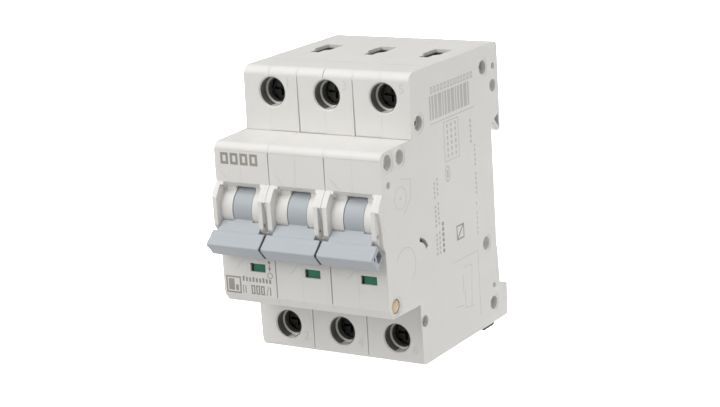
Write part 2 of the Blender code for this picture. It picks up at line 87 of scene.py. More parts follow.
AXIS_Y = -55.4
AXIS_Z = 3.8
HANDLE_ANGLE = 34.4
DRUM_RADIUS = 6.0
DRUM_HALF = 3.0
CHEEK_RADIUS = 6.1
DRUM_SLOT_HALF = 3.15

SIDE_RECESSES = (
    ((-3.45, 34.1), 1.95, 2.0),
    ((2.5, 33.5), 0.9, 1.2),
    ((2.0, 28.0), 1.75, 2.0),
    ((-40.1, 26.1), 2.0, 2.0),
    ((-50.7, 19.4), 1.95, 2.0),
    ((-57.0, 19.3), 2.0, 2.0),
    ((-57.2, 13.3), 0.9, 1.1),
    ((-42.1, -27.9), 1.6, 2.0),
    ((-5.8, -15.8), 1.85, 2.0),
    ((-2.1, -29.1), 0.75, 1.2),
    ((-2.8, -34.2), 1.9, 2.0),
)
RIVET_RECESS = ((-56.8, -19.4), 2.0, 1.2)
RIVET_BORES = ((-3.45, 34.1), (-40.1, 26.1), (-56.8, -19.4), (-42.1, -27.9), (-2.8, -34.2))
RIVET_BORE = 1.3
CURVED_SLOT = (-43.6, -9.9)

GUARD_SPANS = {"left": (-8.3, -6.95), "right": (6.35, 7.65)}
NECK_SPAN = (-6.85, 6.25)
NECK_ROOM = (-6.93, 6.33)
BAR_SPAN = (-8.5, 8.3)

WORLD_POWER = 0.36
KEY_POWER = 2.9
TOP_POWER = 2.4
SIDE_POWER = 0.85
FRONT_POWER = 0.75
BACK_POWER = 2.0
BACKDROP_POWER = 130.0
FLOOR_HEIGHT = -0.40

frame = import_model()


# ---------------------------------------------------------------- node materials


def new_material(name):
    """A new node material, its tree and its shader."""
    made = bpy.data.materials.new(name)
    made.use_nodes = True
    tree = made.node_tree
    return made, tree, tree.nodes["Principled BSDF"]


def noise_node(tree, scale, detail=4.0):
    """Noise in the piece's own coordinates."""
    coordinates = tree.nodes.new("ShaderNodeTexCoord")
    noise = tree.nodes.new("ShaderNodeTexNoise")
    noise.inputs["Scale"].default_value = scale
    noise.inputs["Detail"].default_value = detail
    tree.links.new(coordinates.outputs["Object"], noise.inputs["Vector"])
    return noise


def ramp_between(tree, source, low, high):
    """A colour between low and high, chosen by a value."""
    ramp = tree.nodes.new("ShaderNodeValToRGB")
    for element, position, colour in zip(ramp.color_ramp.elements, (0.35, 0.65), (low, high)):
        element.position = position
        element.color = (*colour, 1)
    tree.links.new(source, ramp.inputs["Fac"])
    return ramp.outputs["Color"]


def map_value(tree, source, low, high):
    """A value from 0 to 1 spread between low and high."""
    remap = tree.nodes.new("ShaderNodeMapRange")
    remap.inputs["To Min"].default_value = low
    remap.inputs["To Max"].default_value = high
    tree.links.new(source, remap.inputs["Value"])
    return remap.outputs["Result"]


def add_relief(tree, shader, grain_scale, strength, edge=0.0):
    """Fine surface grain, over edges softened by a small radius."""
    bump = tree.nodes.new("ShaderNodeBump")
    bump.inputs["Strength"].default_value = strength
    bump.inputs["Distance"].default_value = 0.00004
    tree.links.new(noise_node(tree, grain_scale, 3.0).outputs["Fac"], bump.inputs["Height"])
    if edge:
        soft = tree.nodes.new("ShaderNodeBevel")
        soft.samples = 4
        soft.inputs["Radius"].default_value = edge
        tree.links.new(soft.outputs["Normal"], bump.inputs["Normal"])
    tree.links.new(bump.outputs["Normal"], shader.inputs["Normal"])


def plastic(name, low, high, roughness, edge=0.00012, subsurface=0.0):
    """Moulded plastic: a faint cloud of tone, uneven gloss and a fine grain."""
    made, tree, shader = new_material(name)
    cloud = noise_node(tree, 45.0, 3.0)
    tree.links.new(ramp_between(tree, cloud.outputs["Fac"], low, high), shader.inputs["Base Color"])
    gloss = noise_node(tree, 160.0, 2.0)
    spread = map_value(tree, gloss.outputs["Fac"], roughness - 0.05, roughness + 0.05)
    tree.links.new(spread, shader.inputs["Roughness"])
    shader.inputs["Subsurface Weight"].default_value = subsurface
    shader.inputs["Subsurface Radius"].default_value = (1.0, 0.9, 0.75)
    shader.inputs["Subsurface Scale"].default_value = 0.0008
    shader.inputs["Specular IOR Level"].default_value = 0.4
    add_relief(tree, shader, 2600.0, 0.10, edge)
    return made


def metal(name, low, high, roughness):
    """Bare or plated metal with cloudy tone and patchy gloss."""
    made, tree, shader = new_material(name)
    cloud = noise_node(tree, 260.0, 5.0)
    tree.links.new(ramp_between(tree, cloud.outputs["Fac"], low, high), shader.inputs["Base Color"])
    spread = map_value(tree, cloud.outputs["Fac"], roughness - 0.08, roughness + 0.12)
    tree.links.new(spread, shader.inputs["Roughness"])
    shader.inputs["Metallic"].default_value = 1.0
    add_relief(tree, shader, 1400.0, 0.25)
    return made


def flag_plastic(name, join_height):
    """The position flag's plastic: green above a height of the flag itself, in metres, and red below."""
    made, tree, shader = new_material(name)
    coordinates = tree.nodes.new("ShaderNodeTexCoord")
    split = tree.nodes.new("ShaderNodeSeparateXYZ")
    tree.links.new(coordinates.outputs["Object"], split.inputs["Vector"])
    is_green = tree.nodes.new("ShaderNodeMath")
    is_green.operation = "GREATER_THAN"
    is_green.inputs[1].default_value = join_height
    tree.links.new(split.outputs["Z"], is_green.inputs[0])
    cloud = noise_node(tree, 500.0, 3.0)
    green = ramp_between(tree, cloud.outputs["Fac"], (0.024, 0.165, 0.092), (0.032, 0.195, 0.112))
    red = ramp_between(tree, cloud.outputs["Fac"], (0.45, 0.012, 0.01), (0.55, 0.02, 0.014))
    mix = tree.nodes.new("ShaderNodeMix")
    mix.data_type = "RGBA"
    tree.links.new(is_green.outputs["Value"], mix.inputs["Factor"])
    tree.links.new(red, mix.inputs["A"])
    tree.links.new(green, mix.inputs["B"])
    tree.links.new(mix.outputs["Result"], shader.inputs["Base Color"])
    shader.inputs["Roughness"].default_value = 0.4
    add_relief(tree, shader, 1800.0, 0.1)
    return made


HOUSING = plastic("housing_plastic", (0.755, 0.742, 0.712), (0.775, 0.762, 0.735), 0.42, subsurface=0.08)
# painted shade: a near-black finish for the liners that darken the screw holes' walls
HOLE_SHADE_LINER = plastic("hole_shade_liner", (0.13, 0.13, 0.115), (0.16, 0.16, 0.142), 0.5, edge=0.0)
TOGGLE = plastic("toggle_plastic", (0.430, 0.463, 0.492), (0.450, 0.480, 0.508), 0.42)
BLACK = plastic("clip_plastic", (0.006, 0.008, 0.014), (0.010, 0.012, 0.020), 0.40)
INNER_PLASTIC = plastic("inner_plastic", (0.05, 0.05, 0.055), (0.07, 0.07, 0.075), 0.5)
# painted shade: the steel tone is darkened to near black so the screws look deep in shaded holes
STEEL_PAINTED_SHADE = metal("terminal_steel_painted_shade", (0.05, 0.052, 0.05), (0.11, 0.112, 0.105), 0.40)
PLATE = metal("plated_rivet", (0.60, 0.59, 0.56), (0.72, 0.71, 0.68), 0.42)
COPPER = metal("copper", (0.62, 0.30, 0.18), (0.76, 0.40, 0.25), 0.34)
RIVET = metal("rivet_brass", (0.52, 0.40, 0.26), (0.62, 0.49, 0.34), 0.46)
PRINT = plastic("printed_grey", (0.31, 0.29, 0.26), (0.37, 0.34, 0.31), 0.55, edge=0.0)
# painted shade: a tone darker than the housing, standing in for the shading of the raised numbers
NUMBER_SHADE = plastic("terminal_number_shade", (0.665, 0.655, 0.625), (0.695, 0.685, 0.655), 0.5, edge=0.0)
# painted shade: a darker tone for strips that stand in for the shade of moulded grooves and ridges
GROOVE_SHADE = plastic("painted_groove_shade", (0.62, 0.61, 0.585), (0.64, 0.63, 0.605), 0.5, edge=0.0)
PALE_PRINT = plastic("side_print", (0.52, 0.51, 0.49), (0.58, 0.57, 0.55), 0.55, edge=0.0)
DARK_PRINT = plastic("side_print_dark", (0.33, 0.32, 0.30), (0.39, 0.38, 0.36), 0.55, edge=0.0)
FLAG = flag_plastic("flag_plastic", FLAG_JOIN * MM)


# ---------------------------------------------------------------- outlines


def arc(centre, radius, start, end, steps):
    """Points along a circle, from one angle to another in degrees."""
    angles = [math.radians(start + (end - start) * i / steps) for i in range(steps + 1)]
    return [(centre[0] + radius * math.cos(a), centre[1] + radius * math.sin(a)) for a in angles]


def rounded(corners, steps=8):
    """A closed outline from (first, second, radius) corners, each with its own rounding."""
    outline = []
    for index, (first, second, radius) in enumerate(corners):
        here = Vector((first, second))
        if radius == 0:
            outline.append((first, second))
            continue
        back = (Vector(corners[index - 1][:2]) - here).normalized()
        ahead = (Vector(corners[(index + 1) % len(corners)][:2]) - here).normalized()
        half = back.angle(ahead) / 2
        centre = here + (back + ahead).normalized() * (radius / math.sin(half))
        start = here + back * (radius / math.tan(half)) - centre
        end = here + ahead * (radius / math.tan(half)) - centre
        turn = start.angle_signed(end)
        for step in range(steps + 1):
            outline.append(tuple(centre + Matrix.Rotation(-turn * step / steps, 2) @ start))
    return outline


def lever_point(reach, rise):
    """(y, z) of a point on the handle in the off position."""
    angle = math.radians(HANDLE_ANGLE)
    y = AXIS_Y - reach * math.cos(angle) - rise * math.sin(angle)
    z = AXIS_Z - reach * math.sin(angle) + rise * math.cos(angle)
    return y, z


def lever_outline(corners, steps=5):
    """A rounded outline given as (reach, rise, radius) on the handle."""
    return rounded([(*lever_point(reach, rise), radius) for reach, rise, radius in corners], steps)


def bar(first, second, width, height):
    """A rectangle from its lower corner."""
    return [
        (first, second),
        (first + width, second),
        (first + width, second + height),
        (first, second + height),
    ]


def band_outline(centre, inside, outside, start, end, steps):
    """A ring's sector between two radii."""
    return arc(centre, outside, start, end, steps) + arc(centre, inside, end, start, steps)


def stroke(start, end, width):
    """A straight line of some width."""
    one, two = Vector(start), Vector(end)
    aside = (two - one).normalized().orthogonal() * (width / 2)
    return [tuple(one + aside), tuple(one - aside), tuple(two - aside), tuple(two + aside)]


def frame_strokes(first, second, width, height, line):
    """The four sides of a hollow rectangle."""
    return [
        bar(first, second, width, line),
        bar(first, second + height - line, width, line),
        bar(first, second + line, line, height - 2 * line),
        bar(first + width - line, second + line, line, height - 2 * line),
    ]


def ring_strokes(centre, radius, line, start=0, end=360, steps=24, stretch=1.0):
    """A circle, oval or arc drawn as short pieces side by side."""
    outer = arc((0, 0), radius + line / 2, start, end, steps)
    inner = arc((0, 0), radius - line / 2, start, end, steps)
    pieces = []
    for index in range(steps):
        corners = (outer[index], outer[index + 1], inner[index + 1], inner[index])
        pieces.append([(centre[0] + a, centre[1] + b * stretch) for a, b in corners])
    return pieces


# ---------------------------------------------------------------- modelling helpers

SPREAD = {
    "X": lambda first, second, along: (along, first, second),
    "Y": lambda first, second, along: (first, along, second),
    "Z": lambda first, second, along: (first, second, along),
}


def finish_mesh(name, shape):
    """An unlinked object from the finished faces."""
    bmesh.ops.recalc_face_normals(shape, faces=shape.faces)
    mesh = bpy.data.meshes.new(name)
    shape.to_mesh(mesh)
    shape.free()
    return bpy.data.objects.new(name, mesh)


def add_prism(shape, outline, low, high, axis):
    """An outline made solid along an axis; gives back its two rims."""
    spread = SPREAD[axis]
    rims = []
    for along in (low, high):
        corners = [shape.verts.new([v * MM for v in spread(a, b, along)]) for a, b in outline]
        shape.faces.new(corners)
        rims.append(corners)
    count = len(outline)
    for index in range(count):
        after = (index + 1) % count
        shape.faces.new((rims[0][index], rims[0][after], rims[1][after], rims[1][index]))
    return rims


def slab(name, outline, low, high, axis="X", low_round=0.0, high_round=0.0, segments=3):
    """One outline made solid along an axis, with its two rims rounded on request."""
    shape = bmesh.new()
    rims = add_prism(shape, outline, low, high, axis)
    count = len(outline)
    for corners, radius in zip(rims, (low_round, high_round)):
        if radius:
            edges = [shape.edges.get((corners[i], corners[(i + 1) % count])) for i in range(count)]
            bmesh.ops.bevel(
                shape,
                geom=edges,
                offset=radius * MM,
                offset_type="OFFSET",
                segments=segments,
                profile=0.5,
                affect="EDGES",
                clamp_overlap=False,
            )
    return finish_mesh(name, shape)


def marks(name, outlines, low, high, axis):
    """Many small outlines raised together, as one printed or moulded piece."""
    shape = bmesh.new()
    for outline in outlines:
        add_prism(shape, outline, low, high, axis)
    return finish_mesh(name, shape)


def turned(name, centre, profile, axis="X", sides=48):
    """A solid of revolution along an axis, from (radius, along) points between its two flat ends."""
    spread = SPREAD[axis]
    shape = bmesh.new()
    rings = []
    for radius, along in profile:
        ring = []
        for index in range(sides):
            angle = 2 * math.pi * index / sides
            first = centre[0] + radius * math.cos(angle)
            second = centre[1] + radius * math.sin(angle)
            ring.append(shape.verts.new([v * MM for v in spread(first, second, along)]))
        rings.append(ring)
    for one, two in zip(rings, rings[1:]):
        for index in range(sides):
            after = (index + 1) % sides
            shape.faces.new((one[index], one[after], two[after], two[index]))
    shape.faces.new(rings[0])
    shape.faces.new(rings[-1])
    return finish_mesh(name, shape)


def rod(name, centre, radius, low, high, axis="X", sides=48):
    """A plain cylinder."""
    return turned(name, centre, [(radius, low), (radius, high)], axis, sides)


def block(name, low, high):
    """A box between two opposite corners."""
    outline = [(low[0], low[1]), (high[0], low[1]), (high[0], high[1]), (low[0], high[1])]
    return slab(name, outline, low[2], high[2], "Z")


def hull(name, points):
    """The solid that just holds the given points."""
    shape = bmesh.new()
    for point in points:
        shape.verts.new([v * MM for v in point])
    made = bmesh.ops.convex_hull(shape, input=shape.verts)
    spare = [v for v in made["geom_interior"] if isinstance(v, bmesh.types.BMVert)]
    bmesh.ops.delete(shape, geom=spare, context="VERTS")
    bmesh.ops.dissolve_limit(shape, angle_limit=0.01, verts=shape.verts, edges=shape.edges)
    return finish_mesh(name, shape)


def combine(base, operation, helpers):
    """base with the helper shapes cut away or joined on, as plain mesh."""
    scene = bpy.context.scene.collection
    scene.objects.link(base)
    for helper in helpers:
        if helper.name not in scene.objects:
            scene.objects.link(helper)
        modifier = base.modifiers.new(helper.name, "BOOLEAN")
        modifier.operation = operation
        modifier.solver = "EXACT"
        modifier.object = helper
    graph = bpy.context.evaluated_depsgraph_get()
    mesh = bpy.data.meshes.new_from_object(base.evaluated_get(graph))
    base.modifiers.clear()
    base.data = mesh
    scene.objects.unlink(base)
    for helper in helpers:
        scene.objects.unlink(helper)
    return base


def show(name, shape, finish, body, pole=None, smooth=38, cad=()):
    """A finished piece of the object, moved to its pole and riding on its CAD body."""
    mesh = shape.data.copy()
    mesh.name = name
    mesh.materials.clear()
    mesh.materials.append(finish)
    if pole is not None:
        mesh.transform(Matrix.Translation(((pole - 2) * PITCH * MM, 0, 0)))
    mesh.shade_smooth()
    mesh.set_sharp_from_angle(angle=math.radians(smooth))
    made = bpy.data.objects.new(name, mesh)
    bpy.context.scene.collection.objects.link(made)
    weighting = made.modifiers.new("even_shading", "WEIGHTED_NORMAL")
    weighting.keep_sharp = True
    weighting.weight = 80
    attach(made, body)
    if cad:
        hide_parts(*cad)
    return made


# ---------------------------------------------------------------- pole housings


def side_outline():
    """The housing seen from the side, from the top of the back round by the rail seat and the front."""
    return rounded(
        [
            (BACK, TOP, 0.8),
            (BACK, 14.5, 0.5),
            (4.3, 14.5, 0),
            (0.6, 18.2, 0),
            (0.0, 18.2, 0),
            (0.0, -18.4, 0),
            (0.95, -18.4, 0),
            (0.95, -29.3, 0),
            (BACK, -30.4, 0.5),
            (BACK, -39.3, 0),
            (4.8, -TOP, 0),
            (BLOCK_FRONT, -TOP, 1.2),
            (BLOCK_FRONT, -22.5, 0),
            (-58.7, -22.5, 0.8),
            (PANEL_FRONT, -19.9, 0.6),
            (PANEL_FRONT, 22.3, 2.0),
            (BLOCK_FRONT, 22.3, 0),
            (BLOCK_FRONT, TOP, 2.4),
        ]
    )


def screw_hole(sign):
    """The stepped screw hole with a soft rim."""
    rim = [(5.0, BLOCK_FRONT - 1.0), (4.62, BLOCK_FRONT - 0.6), (4.42, BLOCK_FRONT + 0.02)]
    rim += [(4.18, BLOCK_FRONT + 0.16), (4.04, BLOCK_FRONT + 0.4)]
    steps = [(HOLE_RADIUS, HOLE_FLOOR), (BORE_RADIUS + 0.05, HOLE_FLOOR + 0.2), (BORE_RADIUS, BORE_END)]
    return turned(f"screw_hole_{sign}", (TERMINAL_X, sign * TERMINAL_Z), rim + steps, "Y", 64)


def sleeve_shape(sign):
    """A dark liner of painted shade in a screw hole, standing in for the shaded walls; it is left open at
    the bottom, where the top light falls.
    """
    centre = (TERMINAL_X, sign * TERMINAL_Z)
    band = band_outline(centre, HOLE_RADIUS - 0.14, HOLE_RADIUS - 0.015, -66, 254, 60)
    return slab(f"shade_liner_{sign}", band, BLOCK_FRONT + 0.42, HOLE_FLOOR - 0.02, "Y")


def wire_entry(sign):
    """The wire opening of the top or bottom face, wide behind and narrow in front."""
    wide, narrow = 2.75, 1.4
    right = [(wide, -10.0, 0.4), (wide, -17.3, 0.3), (narrow, -18.8, 0.3), (narrow, -21.8, 0.3)]
    corners = right + [(-x, y, radius) for x, y, radius in reversed(right)]
    outline = rounded([(TERMINAL_X + x, y, radius) for x, y, radius in corners], 4)
    low, high = sorted((sign * (TOP - 2), sign * (TOP + 1)))
    return slab(f"wire_entry_{sign}", outline, low, high, "Z")


def recess(name, spot, radius, depth, sign):
    """A round recess in an outer side face, with a softened rim."""
    face = sign * HALF_WIDTH
    profile = [(radius + 0.9, face + sign * 0.8), (radius + 0.1, face), (radius, face - sign * 0.12)]
    if radius > 1.8:
        step = face - sign * 0.1
        profile = [(radius + 0.85, face + sign * 0.8), (radius + 0.8, step), (radius + 0.05, step)]
    profile.append((radius - 0.05, face - sign * depth))
    return turned(name, spot, profile, "X", 32)


def housing_cutters():
    """The hollows that every half shell shares."""
    inner = HALF_WIDTH - SIDE_WALL
    chamber = [(-48.5, -16.0), (-48.5, 16.0), (-43.0, 20.8), (-2.2, 20.8), (-2.2, -13.2)]
    chamber += [(-8.6, -13.2), (-8.6, -23.6), (-42.0, -23.6)]
    cutters = [
        slab("mechanism_chamber", chamber, -inner, inner),
        block("line_chamber", (-inner, -38.95, 28.7), (inner, -8.5, 39.0)),
        block("load_chamber", (-inner, -38.95, -39.0), (inner, -8.5, -28.7)),
        block("line_lower_chamber", (-inner, -36.2, 26.0), (inner, -8.5, 29.0)),
        block("load_lower_chamber", (-inner, -36.2, -29.0), (inner, -8.5, -26.0)),
        slab("hook_web_hole", [(4.5, 19.6), (2.1, 18.3), (4.5, 15.6)], -10, 10),
        block("drum_slot", (-DRUM_SLOT_HALF, -62, AXIS_Z - 6.3), (DRUM_SLOT_HALF, -48, AXIS_Z + 6.3)),
        rod("axle_bore", (AXIS_Y, AXIS_Z), 1.8, -5.3, 5.3, sides=24),
        block("flag_pocket", (SEAM, FLAG_FRONT - 0.05, -17.6), (6.0, -57.6, -5.9)),
        flag_window(),
        block("line_plate_slot", (-2.8, -25.2, 20), (3.7, -22.6, 27)),
        block("load_plate_slot", (-2.8, -25.2, -27), (3.7, -22.6, -23)),
        block("clip_channel", (-4.8, 0.95, -41), (4.8, 4.6, -28)),
        block("top_mark", (-6.1, -33.45, 39.88), (7.1, -33.15, 41)),
    ]
    for sign in (-1, 1):
        cutters += [screw_hole(sign), wire_entry(sign)]
    for index, spot in enumerate(RIVET_BORES):
        cutters.append(rod(f"rivet_bore_{index}", spot, RIVET_BORE, -10, 10, sides=24))
    return cutters


def flag_window():
    """The opening in front of the position flag, flared a little towards the front."""
    low, high = -13.0, -10.8
    points = []
    for grow, y in ((0.12, PANEL_FRONT - 0.5), (0.0, PANEL_FRONT + 0.1), (0.0, -58.8)):
        for x in (3.0 - 2.35 - grow, 3.0 + 2.35 + grow):
            points += [(x, y, low - grow), (x, y, high + grow)]
    return hull("flag_window", points)


def side_cutters(sign):
    """The moulded marks of one outer side face."""
    face = sign * HALF_WIDTH
    cutters = []
    for index, (spot, radius, depth) in enumerate(SIDE_RECESSES):
        cutters.append(recess(f"side_recess_{sign}_{index}", spot, radius, depth, sign))
    spot, radius, depth = RIVET_RECESS
    cutters.append(recess(f"rivet_recess_{sign}", spot, radius, depth, sign))
    band = band_outline(CURVED_SLOT, 4.35, 5.5, 22, 80, 12)
    low, high = sorted((face - sign * 2.4, face + sign * 1.0))
    cutters.append(slab(f"curved_slot_{sign}", band, low, high))
    return cutters


def pole_grooves(sign):
    """Narrow tapering grooves where two poles meet, on the front faces only."""
    edge = sign * PITCH / 2
    stretches = (
        (BLOCK_FRONT, (22.2, 0.26), (37.6, 0.12)),
        (PANEL_FRONT, (11.4, 0.10), (20.2, 0.20)),
        (PANEL_FRONT, (-19.6, 0.20), (-3.9, 0.20)),
        (BLOCK_FRONT, (-38.9, 0.12), (-22.4, 0.22)),
    )
    grooves = []
    for index, (front, *ends) in enumerate(stretches):
        points = []
        for z, half in ends:
            for y, part in ((-0.3, 1.0), (0.12, 0.75), (0.7, 0.4)):
                points += [(edge - half * part, front + y, z), (edge + half * part, front + y, z)]
        grooves.append(hull(f"pole_groove_{sign}_{index}", points))
    return grooves


def front_marks(side, pole):
    """The fine moulded lines on one half of a pole's front, for the cutters."""
    shoulder = {1: (0.07, 0.16), 2: (0.20, 0.10), 3: (0.20, 0.10)}[pole]
    half = shoulder[0 if side == "left" else 1]
    low, high = (-8.4, SEAM) if side == "left" else (SEAM, 8.4)
    ahead = PANEL_FRONT - 0.5
    cutters = [
        block("shoulder_line", (low, BLOCK_FRONT - half, 22.0), (high, BLOCK_FRONT + half, 22.3 + half)),
        slab("crease", stroke((low, 20.25), (high, 20.2), 0.12), ahead, PANEL_FRONT + 0.05, "Y"),
    ]
    if side == "left":
        wide = {1: 0.05, 2: 0.17, 3: 0.03}[pole]
        cutters.append(block("top_seam", (SEAM - wide, BLOCK_FRONT - 1, 37.0), (SEAM + 1, -41.9, 41.0)))
        lines = (((-6.77, 14.41), (-4.58, 12.05)), ((-3.78, -12.32), (-1.5, -9.83)))
        for index, (start, end) in enumerate(lines):
            groove = stroke(start, end, 0.16)
            cutters.append(slab(f"facet_{index}", groove, ahead, PANEL_FRONT + 0.06, "Y"))
    return cutters


def guard_outline():
    """A guard beside the handle, seen from the side."""
    corners = [
        (-58.0, 11.9, 0),
        (PANEL_FRONT, 11.5, 0),
        (-61.9, 9.7, 0.6),
        (-63.2, 7.6, 0.5),
        (-63.2, 0.0, 0.5),
        (-61.8, -2.1, 0.5),
        (PANEL_FRONT, -3.8, 0),
        (-58.0, -4.3, 0),
    ]
    return rounded(corners, 5)


def guard_bridges(side, outermost):
    """Webs that join a guard to its neighbour above and below the slot between them."""
    sign = -1 if side == "left" else 1
    inner = -8.0 if side == "left" else 7.4
    outer = sign * (HALF_WIDTH - 0.015 if outermost else 8.7)
    back = PANEL_FRONT + 1
    crown = [(back, 11.47, 0), (PANEL_FRONT, 11.47, 0), (-61.885, 9.685, 0.6), (-63.185, 7.59, 0.5)]
    crown += [(-63.185, 7.3, 0), (-62.6, 6.9, 0), (back, 6.9, 0)]
    middle = [(back, 6.95, 0), (-62.6, 6.95, 0), (-62.2, 6.0, 0), (-61.8, 4.3, 0), (-61.45, 2.0, 0)]
    middle += [(-61.45, -1.2, 0), (back, -1.2, 0)]
    if outermost:
        foot = [(back, -1.15, 0), (-61.45, -1.15, 0), (-61.25, -2.6, 0.4)]
    else:
        foot = [(back, -0.95, 0), (-62.55, -0.95, 0), (-61.785, -2.08, 0.5)]
    foot += [(PANEL_FRONT, -3.78, 0), (back, -3.78, 0)]
    webs = []
    for index, corners in enumerate((crown, middle, foot)):
        webs.append(slab(f"{side}_web_{index}", rounded(corners, 5), *sorted((inner, outer))))
    return webs


def neck_path():
    """The space between the guards that the handle's neck needs when it is thrown."""
    swept = [(-58.88, 9.21), (-62.2, 11.69), (-66.0, 11.69), (-66.0, AXIS_Z)]
    return swept + arc((AXIS_Y, AXIS_Z), CHEEK_RADIUS + 0.15, 180, 123.5, 10)


def gusset(side):
    """The sloping corner between a guard and the panel, short of the thrown neck."""
    sign = -1 if side == "left" else 1
    root, tip = (8.2, 6.5) if side == "left" else (7.6, 6.1)
    sections = (
        (-58.0, 11.7, 11.6, 0.5),
        (PANEL_FRONT, 11.5, 11.45, 0.4),
        (-61.75, 9.65, 9.65, 0.1),
        (-62.95, 7.6, 7.6, 0.0),
        (-58.0, 6.9, 6.9, 0.0),
        (-62.95, 7.2, 7.2, 0.0),
    )
    points = []
    for y, root_z, tip_z, further in sections:
        points += [(sign * root, y, root_z), (sign * (tip - further), y, tip_z)]
    solid = hull(f"{side}_gusset", points)
    return combine(solid, "DIFFERENCE", [slab("neck_path", neck_path(), *NECK_ROOM)])


def half_shell(side, pole, shared):
    """One half of a pole's housing: the outline, the handle's recess, cheek and guard, and all hollows."""
    sign = -1 if side == "left" else 1
    outermost = pole == (1 if side == "left" else 3)
    face = sign * (HALF_WIDTH if outermost else JOINED_HALF_WIDTH)
    seam = SEAM + sign * SEAM_GAP / 2
    low, high = sorted((face, seam))
    outer_round = OUTER_ROUND if outermost else 0.0
    rounds = (outer_round, 0.0) if side == "left" else (0.0, outer_round)
    shell = slab(f"{side}_blank", side_outline(), low, high, "X", *rounds)

    floor_y = PANEL_FRONT + 1.6
    recess_outline = [(-62.0, 11.5), (PANEL_FRONT, 11.5), (floor_y, 9.9), (floor_y, -2.3)]
    recess_outline += [(PANEL_FRONT, -3.9), (-62.0, -3.9)]
    handle_recess = slab(f"{side}_handle_recess", recess_outline, -7.8, 7.8)
    shell = combine(shell, "DIFFERENCE", [handle_recess])

    span = GUARD_SPANS[side]
    edges = (0.0, 0.1) if side == "left" else (0.1, 0.0)
    guard = slab(f"{side}_guard", guard_outline(), *span, "X", *edges, 2)
    cheek_span = sorted((sign * DRUM_SLOT_HALF, sign * 7.7))
    cheek = rod(f"{side}_cheek", (AXIS_Y, AXIS_Z), CHEEK_RADIUS, *cheek_span, "X", 96)
    shell = combine(shell, "UNION", [guard, cheek, gusset(side), *guard_bridges(side, outermost)])

    cutters = []
    for cutter in shared:
        across = [vertex.co.x / MM for vertex in cutter.data.vertices]
        if min(across) < high and max(across) > low:
            cutters.append(cutter)
    cutters += front_marks(side, pole)
    if side == "right":
        cutters.append(rod("guard_pin_hole", (-62.3, 0.8), 0.5, 7.0, 9.0, sides=16))
    if outermost:
        cutters += side_cutters(sign)
    else:
        cutters += pole_grooves(sign)
    return combine(shell, "DIFFERENCE", cutters)


def build_housing():
    """Two half shells for each pole."""
    shared = housing_cutters()
    for side in ("left", "right"):
        for pole in POLES:
            shape = half_shell(side, pole, shared)
            name = f"{side}_shell_{pole}"
            show(name, shape, HOUSING, "housing", pole, 38, (f"{side}_shell_pole_{pole}",))


# ---------------------------------------------------------------- handles


def toggle_shape():
    """A toggle: the hollow bar, the neck, the drum and the axle, in one piece."""
    crosspiece = lever_outline(
        [
            (9.7, 0.78, 0.35),
            (11.3, 0.32, 0.6),
            (14.67, 0.0, 0.5),
            (14.1, -4.87, 0.5),
            (9.6, -3.46, 0.35),
            (9.6, -1.5, 0),
        ]
    )
    hollow = lever_outline([(9.9, -0.5, 0.3), (11.9, -0.75, 0.6), (12.9, -3.95, 0.7), (10.0, -3.1, 0.4)])
    slot = lever_outline([(12.5, -0.45, 0.2), (13.3, -0.5, 0.2), (13.4, -1.5, 0.2), (12.75, -1.45, 0.2)])
    neck = lever_outline([(6.4, 1.12, 0.15), (10.0, 0.46, 0), (10.0, -3.2, 0), (6.4, -2.0, 0)])
    root = lever_outline([(4.0, 1.5, 0), (7.0, 1.0, 0), (7.0, -2.1, 0), (4.0, -2.1, 0)])
    solid = slab("toggle_bar", crosspiece, *BAR_SPAN, "X", 0.25, 0.25, 3)
    soft = 0.1
    rim = [(DRUM_RADIUS - soft, DRUM_HALF), (DRUM_RADIUS, DRUM_HALF - soft)]
    drum = [(radius, -along) for radius, along in rim] + rim[::-1]
    pieces = [
        slab("toggle_neck", neck, *NECK_SPAN, "X", soft, soft, 2),
        slab("toggle_root", root, -DRUM_HALF, DRUM_HALF),
        rod("toggle_axle", (AXIS_Y, AXIS_Z), 1.6, -5.0, 5.0, sides=32),
        turned("toggle_drum", (AXIS_Y, AXIS_Z), drum, "X", 96),
    ]
    solid = combine(solid, "UNION", pieces)
    ends = [slab("slot_left", slot, -10, -7.4), slab("slot_right", slot, 7.0, 10)]
    return combine(solid, "DIFFERENCE", [slab("toggle_hollow", hollow, -10, 10), *ends])


def spacer_shape():
    """A black piece filling the gap between two neighbouring bars: painted shade for the dark gap."""
    outline = lever_outline([(9.8, 0.5, 0.3), (14.45, -0.2, 0.3), (13.95, -4.6, 0.3), (9.75, -3.3, 0.3)], 3)
    gap = 0.02
    return slab("gap_shade", outline, BAR_SPAN[1] + gap, PITCH + BAR_SPAN[0] - gap)


def tie_bar_shape():
    """The bar that links the three toggles inside their hollow bars."""
    outline = lever_outline(
        [(10.7, -1.05, 0.15), (11.75, -1.25, 0.15), (12.6, -3.25, 0.15), (10.75, -2.7, 0.15)], 3
    )
    reach = PITCH - BAR_SPAN[0] - 1.5
    return slab("tie_bar", outline, -reach, reach, "X", 0.15, 0.15, 2)


def build_handles():
    """The toggles, black pieces of painted shade in the gaps between them, and their tie bar."""
    shape = toggle_shape()
    for pole in POLES:
        name = f"toggle_{pole}"
        show(name, shape, TOGGLE, "handle", pole, 30, (f"toggle_handle_pole_{pole}",))
    shape = spacer_shape()
    for pole in POLES[:-1]:
        show(f"bar_gap_shade_{pole}", shape, BLACK, "handle", pole, 30, ())
    show("tie_bar", tie_bar_shape(), TOGGLE, "handle", None, 30, ("handle_tie_bar",))


# ---------------------------------------------------------------- terminals, clips and rivets


def bore_ring_shape(sign):
    """A dark band of painted shade on the wall of the narrower bore above a screw's head."""
    centre = (TERMINAL_X, sign * TERMINAL_Z)
    band = band_outline(centre, BORE_RADIUS - 0.05, BORE_RADIUS - 0.005, -89.5, 269.5, 64)
    return slab(f"bore_shade_ring_{sign}", band, HOLE_FLOOR + 0.38, BORE_END - 0.05, "Y")


